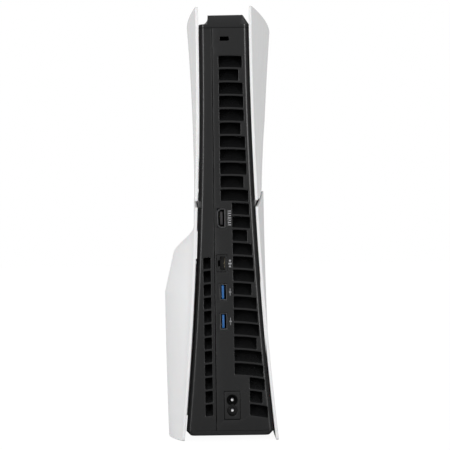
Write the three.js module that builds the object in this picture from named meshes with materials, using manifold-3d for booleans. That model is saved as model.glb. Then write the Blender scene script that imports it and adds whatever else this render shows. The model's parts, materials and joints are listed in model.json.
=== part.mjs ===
// A slim upright game console. Millimetres, +Z up, the connectors face +Y, the disc drive is on the +X side.
// The model is built round the middle plane of the black housing, then moved so that the origin lies on the
// floor under the middle of the whole console.
import * as THREE from "three";
import { mergeVertices } from "three/addons/utils/BufferGeometryUtils.js";
import Module from "manifold-3d";

const wasm = await Module();
wasm.setup();

// ---- driving sizes ----

const size = { width: 94.8, depth: 216, height: 358 };
const gap = 0.3; // between pieces that touch
const rear = size.depth / 2;
const front = -size.depth / 2;

// The four white covers. The waist is where the covers are closest together at the front.
const cover = {
  wall: 2.5,
  waist: { drive: 33.3, plain: 30.3 },
  topFlare: { drive: 5.2, plain: 8.2 },
  topPower: { drive: 2, plain: 1.5 },
  bottomFlare: 5,
  sweep: 1.8,
  seamRear: 194.7,
  seamFront: 211,
  seamGap: 5,
  rearCorner: 6,
  topCorner: 5,
  frontCorner: 16,
  seamCorner: 1.5,
  frontTuck: 3,
  depthSteps: 12,
  heightSteps: 22,
};

// The swelling of the lower cover over the disc drive.
const bulge = {
  top: 177,
  shoulder: 153,
  full: 122,
  shoulderShare: 0.7,
  start: 2.5,
  rise: 48,
  frontLoss: 3,
  baseLoss: 1.5,
};

// The black housing between the covers. Its rear edges follow a curve that widens towards the floor.
const spine = {
  wall: 2.4,
  rearSetback: 4,
  frontSetback: 16,
  top: size.height - 18,
  bottom: 8,
  rearWall: 8,
  chamfer: 3,
  cell: 21,
  front: 26,
  bayFloor: 22.5,
  bayTop: 150,
  bayStep: 10,
  bayRun: 70,
  seamTop: 9.8,
  seamBottom: 11.3,
  edgeTop: 20.4,
  edgeFlare: 17,
  edgePower: 2.05,
};
const spineRear = rear - spine.rearSetback;
const spineFront = front + spine.frontSetback;
const plate = { base: 3.7, chamfer: 4, cap: 3, baseTop: spine.bottom - gap, capBottom: spine.top + gap };
const baseBottom = plate.baseTop - plate.base;
const capTop = plate.capBottom + plate.cap;

// The covers reach further out on the drive side than on the plain side.
const plainReach = spine.edgeTop + spine.edgeFlare + gap + cover.wall;
const driveReach = size.width - plainReach;

// The rear louvres: rows of slots beside the connector strip.
const louvre = {
  pitch: 11.02,
  slot: 9.2,
  top: size.height - 41,
  bottom: 21,
  inner: 4.7,
  innerBesidePorts: -4.5,
  innerBesideInlet: -16.7,
  edgeLow: 3.5,
  edgeHigh: 6.2,
  block: 3.2,
  blockEvery: 4,
  sideTop: 152,
  sideInner: 14.1,
  sideWidth: 5.9,
};
const strip = { portsTop: 197, inletTop: 53, left: -3.6, inletLeft: -15.8, pastSeam: 2 };

// Rear connectors: centre and opening, x is across the console.
const port = {
  depth: 16,
  proud: 0.4,
  lip: 0.6,
  video: { x: 4.6, z: 183.2, width: 6.4, height: 15.6, chamfer: 2.2 },
  network: { x: 4.7, z: 145.9, width: 8.6, height: 13.8, latch: 5 },
  data: { x: 4, z: [122.2, 98], width: 5.7, height: 13.1, tongue: 1.9 },
  lock: { x: -0.3, z: size.height - 26.9, width: 7.1, height: 2.8 },
};
const inlet = { x: -1.9, z: 28.6, width: 12.9, height: 23.2, lobe: 4.5, spacing: 8.7, pin: 1.2, recess: 11 };

const block = { rise: 8, right: 13.4, left: -15.6, foot: 5, slope: 0.95, front: 4 };
const fascia = { half: 17.6, thickness: 7.4, bow: 2, top: capTop };
const grille = { outer: 25.7, thickness: 3.6, pitch: 13, slot: 8, rim: 2 };
const strips = { width: 1, depth: 5, bottom: 222, top: 334 };
const frontSocket = { z: [122, 104], width: 9, height: 3.4, wall: 0.5, depth: 8 };
const button = { width: 5, height: 13, stem: 6, power: 40, eject: 62, proud: 0.2, play: 0.25 };

const board = { x: 9.4, thickness: 1.6, front: front + 24, rear: rear - 13, bottom: 66, top: 212 };
const chip = { y: 20, z: 150, side: 40, thickness: 3 };
const shield = { thickness: 0.6, offDrive: 1.6, offPlain: 1.4, rear: 82, rim: 3 };
const sink = { base: 3, front: -40, rear: 76, bottom: 84, top: 206, reach: 20, fin: 1.4, pitch: 8 };
const supply = { left: -21, right: 17, front: -62, rear: 85, bottom: 12, top: 58, chamfer: 4 };
const cell = { radius: 10, thickness: 3.2, y: -58, z: 96 };
const ssd = {
  y: -20, z: 187, length: 80, height: 22, thickness: 2.4,
  cover: 1.2, rim: 6, lift: 2.6, screw: 2.4, head: 1.5,
};
const antenna = { length: 30, height: 10, thickness: 1 };
const fan = {
  radius: 50,
  play: 2.5,
  frame: 56,
  half: 11,
  y: -30,
  hub: 18,
  motor: 14,
  disc: 1.5,
  blades: 23,
  blade: 1.2,
  chord: 17,
  lean: 0.6,
  arm: 8,
  web: 2.4,
};
const fanZ = spine.top - fan.frame - 6;

// The disc drive lies flat against the housing: its floor faces -X and its lid +X.
const drive = {
  left: 24,
  right: 44.5,
  front: front + 13.5,
  rear: front + 144,
  bottom: 14,
  top: 144,
  wall: 1.2,
  slot: 3.2,
  slotX: 36.5,
  disc: 120,
  bezelRight: driveReach - cover.wall - 7.5,
  bezelThickness: 4,
};
const centre = { y: (drive.front + drive.rear) / 2, z: (drive.bottom + drive.top) / 2 };
const deck = { motor: 13, motorThickness: 4.6, hub: 11, underDisc: 0.8, boss: 7.3, overDisc: 1 };
const sled = {
  inner: 16, length: 16, half: 19, thickness: 5.4, lens: 3,
  nut: 4, rodOff: 15, rod: 1.5, fit: 0.35,
};
const screwRod = { off: 24, radius: 1.5, motor: 3, motorLength: 14 };
const roller = { radius: 3, core: 1.2, inset: 8.5, underDisc: 5.2 };
const bush = { radius: 5, bore: 3, y: 20 };
const fixing = { head: 3.2, headThickness: 2, shaft: 1.5, length: 12, stand: 0.9 };

const round = 16; // sides of a small round piece

// ---- colours ----

const finish = (color, roughness, metalness = 0) =>
  new THREE.MeshStandardMaterial({ color, roughness, metalness });
const looks = {
  coverGloss: finish(0xf0f0f1, 0.25),
  coverMatte: finish(0xe9e9ea, 0.5),
  black: finish(0x2a2a2b, 0.55),
  glossBlack: finish(0x101012, 0.12),
  steel: finish(0xa9abad, 0.35, 1),
  bright: finish(0xd8d9da, 0.18, 1),
  aluminium: finish(0xb9bbbd, 0.4, 1),
  brass: finish(0xb59a5a, 0.35, 1),
  blue: finish(0x1f64b8, 0.45),
  board: finish(0x16382a, 0.6),
  chip: finish(0x1b1c1e, 0.5),
  rubber: finish(0x222222, 0.9),
  light: finish(0xdfe8f2, 0.2),
};

// ---- shape helpers ----

const lerp = THREE.MathUtils.lerp;
const clamp = THREE.MathUtils.clamp;
const ease = (value, from, to) => THREE.MathUtils.smoothstep((value - from) / (to - from), 0, 1);

function solid(geometry) {
  const bare = geometry.clone();
  bare.deleteAttribute("normal");
  bare.deleteAttribute("uv");
  const merged = mergeVertices(bare, 1e-4);
  return new wasm.Manifold(
    new wasm.Mesh({
      numProp: 3,
      vertProperties: new Float32Array(merged.attributes.position.array),
      triVerts: new Uint32Array(merged.index.array),
    }),
  );
}

function geometryOf(body) {
  const mesh = body.getMesh();
  const geometry = new THREE.BufferGeometry();
  geometry.setAttribute("position", new THREE.BufferAttribute(mesh.vertProperties, 3));
  geometry.setIndex(new THREE.BufferAttribute(mesh.triVerts, 1));
  geometry.computeVertexNormals();
  return geometry;
}

const join = (bodies) => bodies.reduce((sum, body) => sum.add(body));
const cut = (body, tools) => tools.reduce((rest, tool) => rest.subtract(tool), body);

// A box between two corners.
function box([x0, x1], [y0, y1], [z0, z1]) {
  const geometry = new THREE.BoxGeometry(x1 - x0, y1 - y0, z1 - z0);
  return solid(geometry.translate((x0 + x1) / 2, (y0 + y1) / 2, (z0 + z1) / 2));
}

// The axes that a flat outline is drawn in, and the direction it is pulled out in.
const planes = {
  x: new THREE.Matrix4().makeBasis(
    new THREE.Vector3(0, 1, 0), new THREE.Vector3(0, 0, 1), new THREE.Vector3(1, 0, 0),
  ),
  y: new THREE.Matrix4().makeBasis(
    new THREE.Vector3(0, 0, 1), new THREE.Vector3(1, 0, 0), new THREE.Vector3(0, 1, 0),
  ),
  z: new THREE.Matrix4(),
};

// An outline pulled out along an axis. Its points are (y, z) along x, (z, x) along y and (x, y) along z.
function prism(outline, axis, [from, to], steps = 4) {
  const geometry = new THREE.ExtrudeGeometry(outline, {
    depth: to - from, bevelEnabled: false, curveSegments: steps,
  });
  return solid(geometry.translate(0, 0, from).applyMatrix4(planes[axis]));
}

// An outline from corners [u, v, radius], each corner rounded.
function outlineOf(corners) {
  const shape = new THREE.Shape();
  corners.forEach(([u, v, radius = 0], i) => {
    const here = new THREE.Vector2(u, v);
    const back = new THREE.Vector2(...corners.at(i - 1)).sub(here).setLength(radius).add(here);
    const onward = new THREE.Vector2(...corners[(i + 1) % corners.length]).sub(here);
    const out = onward.setLength(radius).add(here);
    if (i === 0) shape.moveTo(back.x, back.y);
    else shape.lineTo(back.x, back.y);
    if (radius > 0) shape.quadraticCurveTo(u, v, out.x, out.y);
  });
  shape.closePath();
  return shape;
}

const rectangle = ([u0, u1], [v0, v1], radius = 0) =>
  outlineOf([[u0, v0, radius], [u1, v0, radius], [u1, v1, radius], [u0, v1, radius]]);

function disc(u, v, radius) {
  const shape = new THREE.Shape();
  shape.absarc(u, v, radius, 0, Math.PI * 2);
  return shape;
}

// A round bar along x, y or z; its centre is given as for prism.
const bar = (axis, u, v, radius, ends, sides = round) => prism(disc(u, v, radius), axis, ends, sides / 2);

// A box of unit cells moved point by point.
function moulded(cells, move) {
  const geometry = new THREE.BoxGeometry(1, 1, 1, ...cells);
  const position = geometry.attributes.position;
  for (let i = 0; i < position.count; i += 1) {
    const [x, y, z] = move(position.getX(i) + 0.5, position.getY(i) + 0.5, position.getZ(i) + 0.5);
    position.setXYZ(i, x, y, z);
  }
  return solid(geometry);
}

const console3 = new THREE.Group();

function add(name, body, material) {
  const mesh = new THREE.Mesh(geometryOf(body), material);
  mesh.name = name;
  console3.add(mesh);
}

// ---- the curves that the covers and the housing share ----

const signOf = { drive: 1, plain: -1 };

// Half-width of the housing's rear edge at a height.
const edgeAt = (z) =>
  spine.edgeTop + spine.edgeFlare * clamp(1 - z / spine.top, 0, 1) ** spine.edgePower;

// 0 at the rear edge of the covers, 1 at the front edge, rising quickest at the rear.
const depthShare = (y) => clamp((rear - y) / size.depth, 0, 1);
const sweepAt = (y) => 1 - (1 - depthShare(y)) ** cover.sweep;

function frontHalf(side, z) {
  const middle = cover.seamFront;
  const up = Math.max(0, (z - middle) / (size.height - middle));
  const down = clamp((middle - z) / middle, 0, 1);
  const flare = cover.topFlare[side] * up ** cover.topPower[side];
  return cover.waist[side] + flare + cover.bottomFlare * down ** 2.2;
}

// How far the outer face of a cover is from the middle plane.
function coverFace(side, y, z) {
  const edge = edgeAt(z) + gap + cover.wall;
  const plain = lerp(edge, frontHalf(side, z), sweepAt(y));
  if (side === "plain" || z > bulge.top) return plain;
  const shoulder = 1 - ease(z, bulge.shoulder, bulge.top);
  const slope = 1 - clamp((z - bulge.full) / (bulge.shoulder - bulge.full), 0, 1);
  const height = bulge.shoulderShare * shoulder + (1 - bulge.shoulderShare) * slope;
  const run = clamp((rear - bulge.start - y) / bulge.rise, 0, 1);
  const most = driveReach
    - bulge.frontLoss * ease(depthShare(y), 0.4, 1)
    - bulge.baseLoss * (1 - clamp(z / bulge.full, 0, 1)) ** 2;
  return lerp(plain, most, height * (1 - (1 - run) ** 2));
}

// Half-width of the housing's side wall.
function housingFace(side, y, z) {
  const edge = edgeAt(z);
  const open = lerp(edge, spine.front, sweepAt(y));
  if (side === "plain") return open;
  const bay = lerp(edge, spine.bayFloor, ease(spineRear - y, 0, spine.bayRun));
  return lerp(bay, open, ease(z, spine.bayTop, spine.bayTop + spine.bayStep));
}

const seamX = (z) => lerp(spine.seamBottom, spine.seamTop, (z - spine.bottom) / (spine.top - spine.bottom));

// ---- covers ----

function coverOutline(part) {
  const half = cover.seamGap / 2;
  if (part === "upper")
    return outlineOf([
      [rear, cover.seamRear + half, cover.seamCorner],
      [rear, size.height, cover.rearCorner],
      [front, size.height, cover.topCorner],
      [front + cover.frontTuck, cover.seamFront + half, cover.seamCorner],
    ]);
  return outlineOf([
    [rear, 0, cover.rearCorner / 2],
    [rear, cover.seamRear - half, cover.seamCorner],
    [front + cover.frontTuck, cover.seamFront - half, cover.seamCorner],
    [front, 0, cover.frontCorner],
  ]);
}

function coverSolid(side, part) {
  const sign = signOf[side];
  const over = 2;
  const slab = moulded([1, cover.depthSteps, cover.heightSteps], (a, b, c) => {
    const y = lerp(front - over, rear + over, b);
    const z = lerp(-over, size.height + over, c);
    const outside = sign > 0 ? a : 1 - a;
    return [sign * (coverFace(side, y, z) - cover.wall * (1 - outside)), y, z];
  });
  return slab.intersect(prism(coverOutline(part), "x", [-size.width, size.width]));
}

for (const side of ["drive", "plain"]) {
  add("upper_cover_" + side + "_side", coverSolid(side, "upper"), looks.coverGloss);
  add("lower_cover_" + side + "_side", coverSolid(side, "lower"), looks.coverMatte);
}

// ---- housing ----

// A block with the housing's plan between two depths, its sides moved in by inset.
function housingBlock([bottom, top], inset, [yFront, yRear]) {
  const stations = [yFront, -20, 20, 50, 76, 92 - inset, yRear - spine.chamfer, yRear];
  const heightCells = Math.ceil((top - bottom) / spine.cell);
  return moulded([1, stations.length - 1, heightCells], (a, b, c) => {
    const step = Math.round(b * (stations.length - 1));
    const y = stations[step];
    const z = lerp(bottom, top, c);
    const corner = step === stations.length - 1 ? spine.chamfer : 0;
    const right = housingFace("drive", y, z) - inset - corner;
    const left = -housingFace("plain", y, z) + inset + corner;
    return [lerp(left, right, a), y, z];
  });
}

const strike = spineRear + 2; // past the rear face, for cuts that go right through
const innerRear = spineRear - spine.rearWall;

function louvreRows() {
  const bar = louvre.pitch - louvre.slot;
  const count = Math.floor((louvre.top - louvre.bottom + bar) / louvre.pitch);
  return Array.from({ length: count }, (_, i) => {
    const top = louvre.top - i * louvre.pitch;
    const middle = top - louvre.slot / 2;
    const beside = middle < strip.inletTop ? louvre.innerBesideInlet : louvre.innerBesidePorts;
    const shortened = i % louvre.blockEvery === 1 ? louvre.block : 0;
    const margin = lerp(louvre.edgeLow, louvre.edgeHigh, middle / louvre.top);
    return {
      z: [top - louvre.slot, top],
      left: -(edgeAt(middle) - margin - shortened),
      right: middle > strip.portsTop ? louvre.inner : beside,
      side: middle < louvre.sideTop,
    };
  });
}

const rows = louvreRows();
const slots = rows.map((row) => box([row.left, row.right], [innerRear - 1, strike], row.z));
const sideSlots = rows.filter((row) => row.side).map((row) =>
  box([louvre.sideInner, louvre.sideInner + louvre.sideWidth], [innerRear - 1, strike], row.z));

// Openings in the rear wall for a connector, a clearance all round.
function portHole({ x, width, height }, z) {
  const w = width / 2 + gap;
  const h = height / 2 + gap;
  return box([x - w, x + w], [innerRear - 1, strike], [z - h, z + h]);
}

const portHoles = [
  portHole(port.video, port.video.z),
  portHole(port.network, port.network.z),
  portHole(port.lock, port.lock.z),
  portHole(inlet, inlet.z),
  ...port.data.z.map((z) => portHole(port.data, z)),
];

// The wall is thinner behind the connector strip, so that the connectors reach it.
const skinInner = spineRear - spine.wall;
const pocketRight = seamX(spine.bottom) + strip.pastSeam;
const pocketDepth = [innerRear - 1, skinInner];
const pockets = [
  box([strip.left, pocketRight], pocketDepth, [strip.inletTop, strip.portsTop]),
  box([strip.inletLeft, pocketRight], pocketDepth, [spine.bottom + 2, strip.inletTop]),
];

function housingHalf(side) {
  const tall = [spine.bottom, spine.top];
  const shell = housingBlock(tall, 0, [spineFront, spineRear]).subtract(
    housingBlock([spine.bottom - 1, spine.top + 1], spine.wall, [spineFront - 5, innerRear]),
  );
  const far = size.width;
  const line = (z) => seamX(z) + (signOf[side] * gap) / 2;
  const [low, high] = [spine.bottom - 10, spine.top + 10];
  const keep = outlineOf([
    [low, line(low)], [low, signOf[side] * far], [high, signOf[side] * far], [high, line(high)],
  ]);
  return shell.intersect(prism(keep, "y", [front, rear]));
}

const screwSpots = [
  { y: -78, z: 22 },
  { y: -78, z: 326 },
  { y: -40, z: 62 },
  { y: 20, z: 334 },
];
const screwHoles = screwSpots.map(({ y, z }) =>
  bar("x", y, z, fixing.shaft + gap, [-size.width, 0]));
const ssdHole = box(
  [ssd.cover, size.width],
  [ssd.y - ssd.length / 2 - ssd.rim - gap, ssd.y + ssd.length / 2 + ssd.rim + gap],
  [ssd.z - ssd.height / 2 - ssd.rim - gap, ssd.z + ssd.height / 2 + ssd.rim + gap],
);

add(
  "housing_plain_side",
  cut(housingHalf("plain"), [...slots, ...portHoles, ...pockets, ...screwHoles]),
  looks.black,
);
add("housing_drive_side", cut(housingHalf("drive"), [...sideSlots, ...pockets, ssdHole]), looks.black);

// ---- front, top and base ----

const fasciaFront = spineFront - gap - fascia.thickness;

function fasciaSolid() {
  const back = spineFront - gap;
  const shape = new THREE.Shape();
  shape.moveTo(-fascia.half, back);
  shape.lineTo(-fascia.half, fasciaFront + fascia.bow);
  shape.quadraticCurveTo(0, fasciaFront - fascia.bow, fascia.half, fasciaFront + fascia.bow);
  shape.lineTo(fascia.half, back);
  shape.closePath();
  const middle = [fasciaFront - 5, back + 1];
  const holes = [button.power, button.eject].map((z) => {
    const w = button.width / 2 + button.play;
    const h = button.height / 2 + button.play;
    return box([-w, w], middle, [z - h, z + h]);
  });
  const sockets = frontSocket.z.map((z) => {
    const w = frontSocket.width / 2 + gap;
    const h = frontSocket.height / 2 + gap;
    return box([-w, w], middle, [z - h, z + h]);
  });
  const body = prism(shape, "z", [baseBottom, fascia.top]);
  return cut(body, [...holes, ...sockets]);
}

add("front_fascia", fasciaSolid(), looks.glossBlack);

// The cap has a raised block: a cove on the drive side, a bevel on the plain side, a slope at the rear.
function capSolid() {
  const top = capTop;
  const lid = housingBlock([plate.capBottom, top], 0, [spineFront, spineRear]);
  const shape = new THREE.Shape();
  shape.moveTo(top - 1, block.left - block.foot);
  shape.lineTo(top, block.left - block.foot);
  shape.lineTo(top + block.rise, block.left);
  shape.lineTo(top + block.rise, block.right);
  shape.quadraticCurveTo(top, block.right, top, block.right + block.foot);
  shape.lineTo(top - 1, block.right + block.foot);
  shape.closePath();
  const raised = prism(shape, "y", [spineFront + block.front, spineRear]);
  const reach = block.rise * block.slope;
  const wedge = new THREE.Shape();
  wedge.moveTo(spineRear + 1, top);
  wedge.lineTo(spineRear, top);
  wedge.lineTo(spineRear - reach, top + block.rise + 0.1);
  wedge.lineTo(spineRear + 1, top + block.rise + 0.1);
  wedge.closePath();
  return lid.add(raised.subtract(prism(wedge, "x", [-size.width, size.width])));
}

add("top_cap", capSolid(), looks.black);

const footHalf = spine.edgeTop + spine.edgeFlare - plate.chamfer;
const footOutline = outlineOf([
  [baseBottom, -footHalf], [plate.baseTop, -footHalf - plate.chamfer],
  [plate.baseTop, footHalf + plate.chamfer], [baseBottom, footHalf],
]);
const bushHole = bar("z", 0, bush.y, bush.radius + gap, [0, spine.bottom + 2]);
const base = housingBlock([baseBottom, plate.baseTop], 0, [spineFront, spineRear])
  .intersect(prism(footOutline, "y", [front, rear]));
add("base_plate", base.subtract(bushHole), looks.black);
add(
  "stand_screw_bush",
  bar("z", 0, bush.y, bush.radius, [baseBottom, spine.bottom + 3])
    .subtract(bar("z", 0, bush.y, bush.bore, [0, spine.bottom + 4])),
  looks.brass,
);

function intakeGrille(side) {
  const bottom = side === "drive" ? spine.bayTop + spine.bayStep + 2 : plate.baseTop + grille.rim;
  const y = [spineFront - gap - grille.thickness, spineFront - gap];
  const ends = [fascia.half + gap, grille.outer].map((x) => signOf[side] * x).sort((a, b) => a - b);
  const frame = box(ends, y, [bottom, spine.top - grille.rim]);
  const inside = [ends[0] + grille.rim, ends[1] - grille.rim];
  const count = Math.floor((spine.top - 2 * grille.rim - bottom) / grille.pitch);
  const holes = Array.from({ length: count }, (_, i) => {
    const z = bottom + grille.rim + i * grille.pitch;
    return box(inside, [y[0] - 1, y[1] + 1], [z, z + grille.slot]);
  });
  return cut(frame, holes);
}

for (const side of ["drive", "plain"]) {
  const sign = signOf[side];
  add("intake_grille_" + side + "_side", intakeGrille(side), looks.black);
  const near = fascia.half + gap;
  const ends = [near, near + strips.width].map((x) => sign * x).sort((a, b) => a - b);
  const rearEnd = spineFront - gap - grille.thickness - gap;
  add(
    "status_light_" + side + "_side",
    box(ends, [rearEnd - strips.depth, rearEnd], [strips.bottom, strips.top]),
    looks.light,
  );
}

// ---- buttons ----

function buttonSolid(x, faceY, z) {
  return box(
    [x - button.width / 2, x + button.width / 2],
    [faceY, faceY + button.stem],
    [z - button.height / 2, z + button.height / 2],
  );
}

const buttonFace = fasciaFront - button.proud;
add("power_button", buttonSolid(0, buttonFace, button.power), looks.glossBlack);
add("eject_button", buttonSolid(0, buttonFace, button.eject), looks.glossBlack);

// ---- connectors ----

const mouth = spineRear - port.proud;
const backOf = mouth - port.depth;

function videoOutline(inset) {
  const { x, z, width, height, chamfer } = port.video;
  const [w, h] = [width / 2 - inset, height / 2 - inset];
  const shape = new THREE.Shape();
  shape.moveTo(z - h, x - w);
  shape.lineTo(z + h, x - w);
  shape.lineTo(z + h, x + w - chamfer);
  shape.lineTo(z + h - chamfer, x + w);
  shape.lineTo(z - h + chamfer, x + w);
  shape.lineTo(z - h, x + w - chamfer);
  shape.closePath();
  return shape;
}

add(
  "video_socket_shell",
  prism(videoOutline(0), "y", [backOf, mouth])
    .subtract(prism(videoOutline(port.lip), "y", [backOf + 2, mouth + 1])),
  looks.steel,
);
add(
  "video_socket_tongue",
  box(
    [port.video.x - 1, port.video.x + 1],
    [backOf + 2 + gap, mouth - 2],
    [port.video.z - 5.4, port.video.z + 5.4],
  ),
  looks.black,
);

function networkSolid() {
  const { x, z, width, height, latch } = port.network;
  const body = box([x - width / 2, x + width / 2], [backOf, mouth], [z - height / 2, z + height / 2]);
  const w = width / 2 - port.lip - 1;
  const h = height / 2 - port.lip - 0.6;
  const room = box([x - w, x + w - 1], [backOf + 2, mouth + 1], [z - h, z + h]);
  const notch = box([x, x + w + 0.6], [backOf + 2, mouth + 1], [z - latch / 2, z + latch / 2]);
  return cut(body, [room, notch]);
}

add("network_jack", networkSolid(), looks.black);

port.data.z.forEach((z, i) => {
  const place = ["upper", "lower"][i];
  const { x, width, height, tongue } = port.data;
  const [w, h] = [width / 2, height / 2];
  const shell = box([x - w, x + w], [backOf, mouth], [z - h, z + h]);
  const room = box(
    [x - w + port.lip, x + w - port.lip], [backOf + 2, mouth + 1], [z - h + port.lip, z + h - port.lip],
  );
  add("data_socket_shell_" + place, shell.subtract(room), looks.steel);
  add(
    "data_socket_tongue_" + place,
    box([x - w + port.lip + gap, x - w + port.lip + gap + tongue], [backOf + 2 + gap, mouth - 1],
      [z - h + 1, z + h - 1]),
    looks.blue,
  );
});

function inletSolid() {
  const { x, z, width, height, lobe, spacing, recess } = inlet;
  const body = box([x - width / 2, x + width / 2], [backOf, mouth], [z - height / 2, z + height / 2]);
  const lobes = [-1, 1].map((k) =>
    bar("y", z + (k * spacing) / 2, x, lobe, [mouth - recess, mouth + 1]));
  return body.subtract(join(lobes));
}

add("mains_inlet", inletSolid(), looks.black);
[-1, 1].forEach((k, i) => {
  const z = inlet.z + (k * inlet.spacing) / 2;
  add(
    "mains_pin_" + ["lower", "upper"][i],
    bar("y", z, inlet.x, inlet.pin, [mouth - inlet.recess + gap, mouth - 1.5], 12),
    looks.bright,
  );
});

frontSocket.z.forEach((z, i) => {
  const [w, h] = [frontSocket.width / 2, frontSocket.height / 2];
  const y = [fasciaFront + fascia.bow / 2, fasciaFront + fascia.bow / 2 + frontSocket.depth];
  const outer = prism(rectangle([z - h, z + h], [-w, w], 1.2), "y", y, 3);
  const [iw, ih] = [w - frontSocket.wall, h - frontSocket.wall];
  const inner = prism(rectangle([z - ih, z + ih], [-iw, iw], 0.9), "y", [y[0] - 1, y[1] - 1], 3);
  const tongue = box([-w + 1.3, w - 1.3], [y[0] + 0.8, y[1] - 0.5], [z - 0.35, z + 0.35]);
  add("front_socket_" + ["upper", "lower"][i], outer.subtract(inner).add(tongue), looks.steel);
});

// ---- circuit board and what is on it ----

const boardRight = board.x + board.thickness;
add(
  "mainboard",
  box([board.x, boardRight], [board.front, board.rear], [board.bottom, board.top]),
  looks.board,
);
const chipLeft = board.x - gap - chip.thickness;
add(
  "processor",
  box(
    [chipLeft, board.x - gap],
    [chip.y - chip.side / 2, chip.y + chip.side / 2],
    [chip.z - chip.side / 2, chip.z + chip.side / 2],
  ),
  looks.chip,
);

function shieldSolid(right) {
  return box(
    [right - shield.thickness, right],
    [board.front, shield.rear],
    [board.bottom, board.top],
  );
}

const shieldRight = boardRight + shield.offDrive + shield.thickness;
add("shield_drive_side", shieldSolid(shieldRight), looks.steel);
const chipRoom = chip.side / 2 + shield.rim;
add(
  "shield_plain_side",
  shieldSolid(board.x - shield.offPlain).subtract(
    box(
      [-size.width, size.width],
      [chip.y - chipRoom, chip.y + chipRoom],
      [chip.z - chipRoom, chip.z + chipRoom],
    ),
  ),
  looks.steel,
);

function sinkSolid() {
  const right = chipLeft - gap;
  const base = box([right - sink.base, right], [sink.front, sink.rear], [sink.bottom, sink.top]);
  const count = Math.floor((sink.rear - sink.front - sink.fin) / sink.pitch) + 1;
  const fins = Array.from({ length: count }, (_, i) => {
    const y = sink.front + i * sink.pitch;
    return box([right - sink.base - sink.reach, right - 1], [y, y + sink.fin], [sink.bottom, sink.top]);
  });
  return join([base, ...fins]);
}

add("heat_sink", sinkSolid(), looks.aluminium);

add(
  "power_supply",
  prism(
    outlineOf([
      [supply.left, supply.front, 0], [supply.right, supply.front, 0],
      [supply.right, supply.rear - supply.chamfer, 0], [supply.right - supply.chamfer, supply.rear, 0],
      [supply.left, supply.rear, 0],
    ]),
    "z", [supply.bottom, supply.top],
  ),
  looks.black,
);

add(
  "clock_battery",
  bar("x", cell.y, cell.z, cell.radius, [shieldRight + gap, shieldRight + gap + cell.thickness]),
  looks.steel,
);

const ssdLeft = shieldRight + gap;
add(
  "storage_card",
  box(
    [ssdLeft, ssdLeft + ssd.thickness],
    [ssd.y - ssd.length / 2, ssd.y + ssd.length / 2],
    [ssd.z - ssd.height / 2, ssd.z + ssd.height / 2],
  ),
  looks.board,
);
const coverLeft = ssdLeft + ssd.thickness + ssd.lift;
const coverHalf = { y: ssd.length / 2 + ssd.rim, z: ssd.height / 2 + ssd.rim };
const ssdScrewY = ssd.y - coverHalf.y + ssd.rim / 2;
add(
  "storage_bay_cover",
  box(
    [coverLeft, coverLeft + ssd.cover],
    [ssd.y - coverHalf.y, ssd.y + coverHalf.y],
    [ssd.z - coverHalf.z, ssd.z + coverHalf.z],
  ).subtract(bar("x", ssdScrewY, ssd.z, 1 + gap, [0, size.width])),
  looks.steel,
);
const headLeft = coverLeft + ssd.cover + gap;
add(
  "storage_bay_screw",
  bar("x", ssdScrewY, ssd.z, 1, [coverLeft - 2, headLeft + 0.2], 12)
    .add(bar("x", ssdScrewY, ssd.z, ssd.screw, [headLeft, headLeft + ssd.head], 12)),
  looks.bright,
);

const antennaSpots = { rear: { x: 15.5, y: 76, z: 312 }, front: { x: -16, y: -84, z: 90 } };
for (const [place, { x, y, z }] of Object.entries(antennaSpots))
  add(
    "antenna_" + place,
    box(
      [x - antenna.thickness / 2, x + antenna.thickness / 2],
      [y - antenna.height / 2, y + antenna.height / 2],
      [z - antenna.length / 2, z + antenna.length / 2],
    ),
    looks.board,
  );

// ---- cooling fan ----

function fanFrame() {
  const [f, h] = [fan.frame, fan.half];
  const outer = rectangle([fan.y - f, fan.y + f], [fanZ - f, fanZ + f], 10);
  outer.holes.push(disc(fan.y, fanZ, fan.radius + fan.play));
  const ring = prism(outer, "x", [-h, h], 12);
  const outlet = box([-h + fan.web, h + 1], [fan.y + f / 2, fan.y + f + 1], [fanZ - f - 1, fanZ - f / 3]);
  const arms = [0, 1, 2].map((k) => {
    const angle = (k * 2 * Math.PI) / 3 + Math.PI / 2;
    const reach = fan.radius + fan.play + 2;
    const arm = new THREE.BoxGeometry(fan.web, reach, fan.arm);
    arm.translate(0, reach / 2, 0).rotateX(angle).translate(-h + fan.web / 2, fan.y, fanZ);
    return solid(arm);
  });
  const seat = bar("x", fan.y, fanZ, fan.motor + 2, [-h, -h + fan.web]);
  return join([ring.subtract(outlet), seat, ...arms]);
}

add("fan_frame", fanFrame(), looks.black);
const motorLeft = -fan.half + fan.web + gap;
add("fan_motor", bar("x", fan.y, fanZ, fan.motor, [motorLeft, motorLeft + 9]), looks.steel);

function rotorSolid() {
  const left = motorLeft;
  const cup = [
    [0, motorLeft + 9.6], [fan.motor + 1, motorLeft + 9.6], [fan.motor + 1, left + 1],
    [fan.radius, left + 1], [fan.radius, left + 1 + fan.disc], [fan.hub, left + 1 + fan.disc],
    [fan.hub, motorLeft + 12], [0, motorLeft + 12],
  ].map(([r, x]) => new THREE.Vector2(r, x));
  const lathe = new THREE.LatheGeometry([...cup, cup[0].clone()], 24);
  lathe.rotateZ(-Math.PI / 2).translate(0, fan.y, fanZ);
  const length = fan.half - left - 3;
  const blades = Array.from({ length: fan.blades }, (_, i) => {
    const blade = new THREE.BoxGeometry(length, fan.chord, fan.blade);
    blade.rotateX(fan.lean).translate(left + 1.5 + length / 2, fan.radius - fan.chord / 2 - 1.5, 0);
    blade.rotateX((i * 2 * Math.PI) / fan.blades).translate(0, fan.y, fanZ);
    return solid(blade);
  });
  return join([solid(lathe), ...blades]);
}

add("fan_rotor", rotorSolid(), looks.black);

// ---- disc drive ----

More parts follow.
